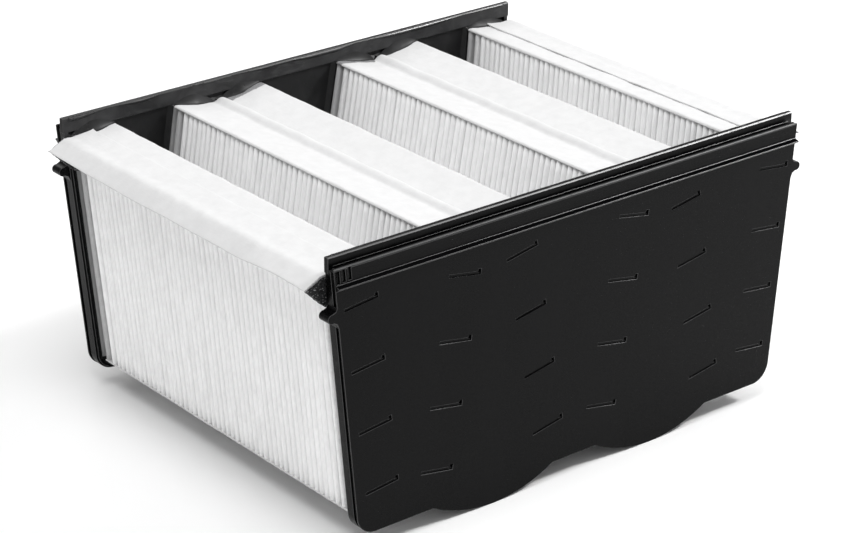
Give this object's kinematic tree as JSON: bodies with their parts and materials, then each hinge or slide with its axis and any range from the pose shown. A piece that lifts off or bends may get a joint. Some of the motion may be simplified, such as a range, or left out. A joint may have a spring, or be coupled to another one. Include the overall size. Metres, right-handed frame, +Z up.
{
  "type": "air purifier filter",
  "caption": "Pleated air filter: white paper packs stand in a zigzag between two black moulded end plates, with fleece strips and side skirts.",
  "frame": {"origin": "centre of the footprint, level with the lobes that the filter stands on", "axes": "+Z up, out of the open valleys; +Y from the near end plate to the far one, along the packs; +X across the packs"},
  "size_m": [0.3512, 0.2666, 0.1731],
  "materials": {
    "black_plastic": "satin moulded",
    "black_resin": "glossy cast resin",
    "filter_paper": "matt folded filter paper",
    "white_fleece": "matt non-woven fleece",
    "black_foam": "open-cell foam"
  },
  "bodies": {
    "root": {"near_end_plate": "black_plastic", "far_end_plate": "black_plastic", "near_potting_bed": "black_resin", "far_potting_bed": "black_resin", "left_outer_pleat_pack": "filter_paper", "left_inner_pleat_pack": "filter_paper", "left_centre_pleat_pack": "filter_paper", "right_outer_pleat_pack": "filter_paper", "right_inner_pleat_pack": "filter_paper", "right_centre_pleat_pack": "filter_paper", "left_ridge_strip": "white_fleece", "left_edge_band": "white_fleece", "left_sealing_skirt": "white_fleece", "near_left_corner_pad": "black_foam", "far_left_corner_pad": "black_foam", "right_ridge_strip": "white_fleece", "right_edge_band": "white_fleece", "right_sealing_skirt": "white_fleece", "near_right_corner_pad": "black_foam", "far_right_corner_pad": "black_foam", "left_tip_strip": "white_fleece", "centre_tip_strip": "white_fleece", "right_tip_strip": "white_fleece"}
  },
  "joints": []
}
